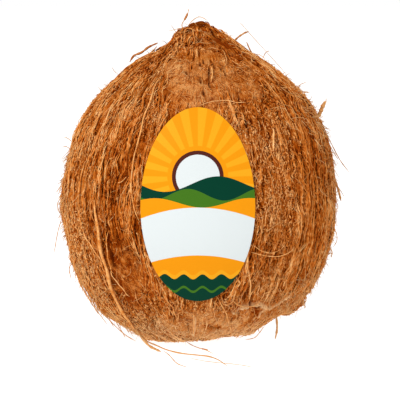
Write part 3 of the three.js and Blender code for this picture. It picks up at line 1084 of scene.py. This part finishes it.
# Thickness, tone and lift over the skin, then places on the front from end to end.
LAID_STRANDS = [
    (1.5, 0.62, 0.7, [(-43.4, 66), (-42.6, 60), (-41.2, 54), (-40.5, 48), (-39.9, 43.6), (-38.8, 39.9),
                      (-37.5, 35.5), (-36.7, 31.3), (-35.6, 26.4), (-33.6, 21), (-31.1, 16.2),
                      (-28.2, 11.4), (-25.4, 4.7)]),
    (0.5, 0.58, 0.7, [(-37.4, 53), (-37.7, 48.6), (-37.2, 43.4), (-36.4, 38.8), (-35.2, 34.6)]),
    (0.5, 0.66, 0.6, [(-48.5, 53.5), (-45.7, 48.5), (-41.6, 42.5), (-39.6, 39.6)]),
    (0.42, 0.72, 0.7, [(-36.6, 36.4), (-34.8, 33), (-31.6, 29.1), (-28.6, 24.8)]),
    (0.42, 0.64, 0.6, [(-15.9, 31.8), (-13.6, 28.2), (-12.8, 24.5), (-10.6, 21), (-9.4, 17)]),
    (0.5, 0.60, 0.6, [(-52.5, 40), (-50.6, 28.8), (-45, 18)]),
    (0.7, 0.64, 0.6, [(-18.5, 112), (-19.2, 107.5), (-21.9, 101.5), (-23.2, 95.4), (-25, 88)]),
    (0.48, 0.66, 0.6, [(-23.4, 97), (-24.7, 89.4), (-26.3, 83.3), (-27.2, 73.1), (-26.3, 64.9),
                       (-23.8, 57.5)]),
    (0.36, 0.68, 0.7, [(-33.2, 73.6), (-31, 74.2), (-29.2, 76.3)]),
    (0.8, 0.80, 0.6, [(31.3, 96), (31.0, 91), (31.1, 86.6)]),
    (0.34, 0.70, 0.8, [(21.8, 45.2), (26.6, 43.9), (31.2, 43.1), (36.3, 43.6), (40.2, 46.2)]),
    (0.28, 0.66, 0.7, [(23, 48.2), (26.5, 45.6), (30.8, 44.5), (34, 46)]),
    (0.6, 0.68, 0.6, [(20.2, 41), (21.2, 35.4), (21.8, 30), (21.4, 25.4)]),
    (0.32, 0.78, 0.7, [(0, 105.2), (6, 106.6), (11.3, 106.9), (16, 106.2), (20.4, 106.2)]),
    (0.55, 0.66, 0.6, [(12.2, 108.4), (13.6, 105), (14.5, 102.8), (17, 96.4)]),
    (0.6, 0.66, 0.7, [(5.4, 121.2), (5.9, 118), (5.5, 114.6)]),
    (0.42, 0.64, 0.6, [(8.2, 25.2), (10.1, 21.9), (11.8, 18), (12.9, 13.4), (13.3, 4.5)]),
    (0.3, 0.64, 0.7, [(10.1, 25.7), (10.4, 23), (12.6, 22.3), (14.7, 24.1)]),
    (0.34, 0.64, 0.6, [(13.4, 25.5), (16, 22.6), (19.8, 20.7), (24, 21.6), (26.9, 24.7), (28.1, 28.4)]),
    (0.5, 0.66, 0.5, [(-2, 19.7), (-1.6, 13.8), (-1.9, 6.7)]),
    (0.5, 0.60, 0.6, [(-28.5, 107), (-31.5, 100), (-34, 91)]),
    (0.45, 0.62, 0.6, [(-39, 103), (-43, 96), (-46.5, 87)]),
    (0.45, 0.54, 0.6, [(-5.9, 132), (-5.4, 134.7), (-3.8, 135.9), (-2.4, 135.1), (-1.7, 133.1),
                       (-1.2, 130.2)]),
    (0.5, 0.54, 0.5, [(-8.8, 135), (-8.7, 131), (-9.1, 127)]),
    (0.42, 0.52, 0.5, [(-7, 135.6), (-6.8, 133), (-6.9, 130.6)]),
    (0.5, 0.54, 0.5, [(8.4, 136), (11, 134), (14, 131.6), (16.6, 129)]),
]
laid_lines = [laid(lift, places) for _, _, lift, places in LAID_STRANDS]
add_strands("laid_strands", 201, LAID_STRANDS, laid_lines, strand_coir)

# Thickness and tone, then points (x, y, z) from the end in the nut to the free one.
STANDING_STRANDS = [
    # round the stub
    (0.4, 0.60, [(-6.3, -1, 135), (-6.9, 0, 137.5), (-5.8, 0, 139.9)]),
    (1.0, 0.42, [(-6.0, 0, 139.4), (-5.1, 0, 140.9), (-4.4, 0, 142.6)]),
    (0.3, 0.70, [(-4.6, 0, 142.2), (-4.1, 0, 143.4), (-4.3, 0, 144.6)]),
    (0.35, 0.66, [(-4.6, -2, 136), (-3.4, -1, 138.3), (-0.8, 0, 140.5), (1.3, 0, 140.9), (4.2, 0, 139.4)]),
    (0.25, 0.70, [(-9.4, 0, 133.5), (-9.9, 0, 134.9), (-11.6, 0, 137.5)]),
    # on the left shoulder
    (1.05, 0.34, [(-29.5, -2, 121.5), (-27.6, 0, 124.2), (-24.4, 0, 125.6), (-21.2, 0, 128),
                  (-17.2, 0, 129.9)]),
    (0.6, 0.46, [(-24.5, -2, 123), (-21.6, 0, 124.8), (-19.6, 0, 126.2), (-17.6, 0, 128.4)]),
    (0.25, 0.72, [(-34.5, 0, 116), (-36.4, 0, 117.8), (-37, 0, 119.2)]),
    # on the right shoulder
    (0.8, 0.46, [(15, -1, 129.5), (16.5, 0, 131.3), (18.2, 0, 132.7), (20.4, 0, 134.0), (22.1, 0, 134.5)]),
    (0.22, 0.80, [(40, 0, 112.6), (37.3, 0, 117.2), (31.2, 0, 124.1), (22.5, 0, 133.6),
                  (19.6, 0, 137), (18, 0, 138.4)]),
    (0.6, 0.42, [(23.6, 0, 124.8), (22.3, 0, 127.2), (21.0, 0, 130.2)]),
    (0.35, 0.60, [(28, 0, 123), (29.4, 0, 125.6), (31, 0, 126.4)]),
    (0.3, 0.66, [(42, 0, 109.4), (44.2, 0, 111.6), (46.8, 0, 112.9)]),
    (0.3, 0.66, [(43.4, 0, 107.5), (46.2, 0, 108.6), (48.4, 0, 108.2)]),
    (1.8, 0.60, [(51.8, -1, 97), (53.2, 0, 100), (54.1, 0, 102.4), (55.2, 0, 104.6)]),
    (0.4, 0.62, [(53, -1, 99), (54.4, 0, 102.4), (55.4, 0, 104), (55.5, 0, 106)]),
    # down the right side
    (0.4, 0.62, [(55.5, -1, 91), (57.4, 0, 87.2), (61.8, 0, 78.9), (65.9, 0, 73.4)]),
    (0.35, 0.62, [(57, -1, 86), (58.9, 0, 82.4), (60.9, 0, 79.2)]),
    (1.0, 0.55, [(59.2, -1, 72), (60.3, 0, 68.4), (61.5, 0, 64.5), (62.4, 0, 60.8)]),
    (0.3, 0.66, [(59.6, 0, 69), (61.8, 0, 66), (63.5, 0, 63.2)]),
    (0.35, 0.62, [(58.6, -1, 50), (60.4, 0, 46.8), (60.6, 0, 43.4), (58.8, 0, 40.4)]),
    (0.5, 0.60, [(57.2, -1, 41), (58.6, 0, 38.6), (58.2, 0, 36.2)]),
    # down the left side
    (0.35, 0.62, [(-58.6, -1, 70), (-60, 0, 67.2), (-61.8, 0, 64.6)]),
    (0.3, 0.62, [(-59, -1, 63), (-61.2, 0, 60), (-60.8, 0, 56.5), (-58.8, 0, 54.4)]),
    (0.35, 0.62, [(-59.4, -1, 53.5), (-61.2, 0, 47), (-62.8, 0, 38)]),
    (0.3, 0.66, [(-54.8, 0, 86.8), (-56.4, 0, 88.2), (-58.2, 0, 88.8)]),
    (0.3, 0.66, [(-55.4, 0, 83.6), (-57.4, 0, 84.8), (-59, 0, 84.4)]),
    (0.4, 0.60, [(-56, -1, 46), (-56.6, 0, 42), (-55.4, 0, 37.2)]),
    (0.4, 0.60, [(-54, -2, 34.6), (-56.2, 0, 31.6), (-55.6, 0, 27)]),
    # at the lower left corner
    (0.45, 0.66, [(-52.6, -4, 29), (-50.6, -4, 23.7), (-46.4, -4, 15.8), (-39.7, -4, 6.1)]),
    (0.4, 0.66, [(-43, -5, 14.5), (-37.8, -5, 8.6), (-32, -5, 3.4), (-27, -5, 0.6)]),
    (0.35, 0.66, [(-47, -4, 20), (-44.5, -5, 14.6), (-39.2, -6, 9.2), (-36.6, -6, 4.6)]),
    (0.35, 0.66, [(-36, -6, 9), (-33, -7, 4.4), (-31.6, -7, 1.8)]),
    # hanging at the lower right
    (0.95, 0.74, [(32.6, -14, 17.5), (33.8, -13, 12.7), (34.2, -13, 7), (33.4, -13, 2.4)]),
    (0.35, 0.66, [(28.5, -6, 6.5), (27.2, -6, 4.2), (24.6, -7, 1.4), (20.5, -9, 0.5)]),
    (0.35, 0.66, [(44, -4, 20), (46, -4, 17), (46.6, -4, 14)]),
]
# Trailing from the base and along the floor.
FLOOR_STRANDS = [
    (1.1, 0.68, [(-28, -20, 10), (-24.6, -19, 4.6), (-21, -22, 1.0), (-18, -29, 0.6), (-15.6, -35, 0.6)]),
    (0.6, 0.66, [(-25.5, -16, 7), (-22.4, -17, 2.4), (-17.4, -20, 0.5), (-13.4, -29, 0.4),
                 (-7.4, -37.6, 0.4), (-0.6, -42, 0.4), (4.6, -45.6, 0.4), (8.6, -54, 0.4), (12, -68, 0.4)]),
    (0.35, 0.72, [(-6.6, -8, 1.6), (-3.4, -15, 0.4), (-0.2, -23, 0.3), (3.4, -29.4, 0.3), (6.6, -39, 0.3)]),
    (0.6, 0.42, [(1.4, -27.4, 0.5), (2.4, -28.6, 0.6), (3.4, -29.4, 0.5), (4.4, -29.8, 0.4)]),
    (0.38, 0.66, [(-14.6, -31, 0.3), (-12, -42, 0.3), (-10, -54, 0.3), (-8, -63, 0.3), (-4.2, -70.2, 0.3)]),
    (0.25, 0.70, [(-4, -48, 0.3), (3, -56, 0.3), (10.4, -60.6, 0.3), (17, -64.4, 0.3), (23, -70.4, 0.3)]),
]
lean_rng = np.random.default_rng(204)
standing_lines = [standing(points, lean_rng.uniform(-0.45, 0.45)) for _, _, points in STANDING_STRANDS]
floor_lines = [standing(points) for _, _, points in FLOOR_STRANDS]
# Strands in the open take the darker dry coir colours: painted shade against the stronger light there.
add_strands("standing_strands", 202, STANDING_STRANDS, standing_lines, dry_shaded_coir)
add_strands("floor_strands", 203, FLOOR_STRANDS, floor_lines, dry_shaded_coir)


# ---- Label ----
# An oval of satin paper, printed in flat colours and glued to the nut's front, where it
# presses the coir flat. The print is a sun over hills, a bare band and a wavy green foot.
LABEL_SIDES = 96
LABEL_RINGS = 15
LABEL_PAPER = 0.16
LABEL_SHRINK = 0.996
TELEGRAPH = 0.10
RIM_TELEGRAPH = 0.12
AHEAD_OF_LABEL = -0.2

label_surface = surface_of(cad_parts["label"].data)
bpy.ops.object.select_all(action="DESELECT")
bpy.ops.mesh.primitive_circle_add(
    vertices=LABEL_SIDES, radius=1, fill_type="NGON", rotation=(math.pi / 2, 0, 0))
label = bpy.context.object
label.name = "paper_label"
bpy.ops.object.transform_apply(location=True, rotation=True)
bpy.ops.object.mode_set(mode="EDIT")
bpy.ops.mesh.select_all(action="SELECT")
for _ in range(LABEL_RINGS - 1):
    bpy.ops.mesh.inset(thickness=1 / LABEL_RINGS)
bpy.ops.mesh.poke()
bpy.ops.mesh.normals_make_consistent(inside=False)
bpy.ops.object.mode_set(mode="OBJECT")

disc = read_points(label.data)
label_points = np.zeros(disc.shape)
for index, (x, _, z) in enumerate(disc):
    x = label_middle.x + x * label_size.x / 2 * LABEL_SHRINK
    z = label_middle.z + z * label_size.z / 2 * LABEL_SHRINK
    hit = label_surface.ray_cast(Vector((x, AHEAD_OF_LABEL, z)), Vector((0, 1, 0)))[0]
    label_points[index] = (x, hit.y, z)
# The mat's ridges show through the paper, but not at its rim.
label_azimuth = np.arctan2(label_points[:, 1], label_points[:, 0])
pressed_through = ripple(label_azimuth, label_points[:, 2] / cad_highest[2], 64, 14, 71)
rim = np.linalg.norm(disc[:, [0, 2]], axis=1) ** 10
label_points[:, 1] += (TELEGRAPH * pressed_through - RIM_TELEGRAPH * rim * pressed_through) * MM
write_points(label.data, label_points)
if label.data.polygons[0].normal.y > 0:
    label.data.flip_normals()
thickness = label.modifiers.new("paper", "SOLIDIFY")
thickness.thickness = LABEL_PAPER * MM
thickness.offset = -1
bpy.ops.object.modifier_apply(modifier="paper")
bpy.ops.object.shade_smooth_by_angle(angle=math.radians(40))

PAPER_WHITE = (0.60, 0.64, 0.64)
PRINT_ORANGE = (0.72, 0.255, 0.003)
PRINT_AMBER = (0.74, 0.32, 0.009)
PRINT_GREEN = (0.0005, 0.036, 0.019)
PRINT_LEAF = (0.045, 0.14, 0.010)
PRINT_BROWN = (0.070, 0.014, 0.009)
# Sizes of the print in mm, with heights from the label's middle.
SUN_HEIGHT = 12.5
SUN_RADIUS = 9
SUN_EDGE = 1.6
RAY_GAP = 3.5
RAY_COUNT = 22
BAND_BEND = -0.009
FOOT_WAVE = (1.1, 7.8, 0)

satin_paper = new_material("satin_paper", Specular_IOR_Level=0.04)
paper_place = node(satin_paper, "ShaderNodeTexCoord").outputs["Object"]
centred = node(satin_paper, "ShaderNodeMapping", Vector=paper_place,
               Location=(0, 0, -label_middle.z / MM), Scale=(1 / MM, 1 / MM, 1 / MM)).outputs["Vector"]
split = node(satin_paper, "ShaderNodeSeparateXYZ", Vector=centred).outputs
across, up = split["X"], split["Z"]
paper_maths = partial(maths, satin_paper)
below = partial(maths, satin_paper, "LESS_THAN")
across_squared = paper_maths("MULTIPLY", across, across)


def wave(height, size, width, shift):
    """1 below a waving line, whose waves have a size up and down and a width."""
    line = paper_maths("SINE", paper_maths("MULTIPLY_ADD", across, 2 * math.pi / width, shift))
    return below(up, paper_maths("MULTIPLY_ADD", line, size, height))


def under_arch(height):
    """1 below a shallow arch."""
    return below(up, paper_maths("MULTIPLY_ADD", across_squared, BAND_BEND, height))


over_sun = paper_maths("SUBTRACT", up, SUN_HEIGHT)
sun_distance = paper_maths("MULTIPLY_ADD", across, across, paper_maths("MULTIPLY", over_sun, over_sun))
sun_distance = paper_maths("SQRT", sun_distance)
turn = paper_maths("ARCTAN2", across, over_sun)
rays = paper_maths("GREATER_THAN", paper_maths("SINE", paper_maths("MULTIPLY", turn, RAY_COUNT)), 0.0)
outside_sun = paper_maths("GREATER_THAN", sun_distance, SUN_RADIUS + RAY_GAP)
# Each layer of the print covers those before it.
layers = [
    (paper_maths("MULTIPLY", rays, outside_sun), PRINT_AMBER),
    (below(sun_distance, SUN_RADIUS + SUN_EDGE), PRINT_BROWN),
    (below(sun_distance, SUN_RADIUS), PAPER_WHITE),
    (wave(9.5, 3.2, 44, 0.4), PRINT_GREEN),
    (wave(5.2, 2.4, 30, 2.4), PRINT_LEAF),
    (wave(1.8, 1.8, 38, 4.4), PRINT_ORANGE),
    (under_arch(0), PAPER_WHITE),
    (under_arch(-20), PRINT_ORANGE),
    (wave(-27.6, *FOOT_WAVE), PRINT_AMBER),
    (wave(-29.4, *FOOT_WAVE), PRINT_GREEN),
    (wave(-34.5, *FOOT_WAVE), PRINT_LEAF),
    (wave(-35.6, *FOOT_WAVE), PRINT_GREEN),
]
ink = PRINT_ORANGE
for share, colour in layers:
    ink = blend(satin_paper, share, ink, colour)
paper_grain = noise(satin_paper, paper_place, 1500, 2, 0.5)
feed_shader(satin_paper, Base_Color=ink, Roughness=paper_maths("MULTIPLY_ADD", paper_grain, 0.2, 0.42),
            Normal=bump(satin_paper, paper_grain, 0.03 * MM, 0.5))
label.data.materials.append(satin_paper)
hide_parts("label")
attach(label, "root")
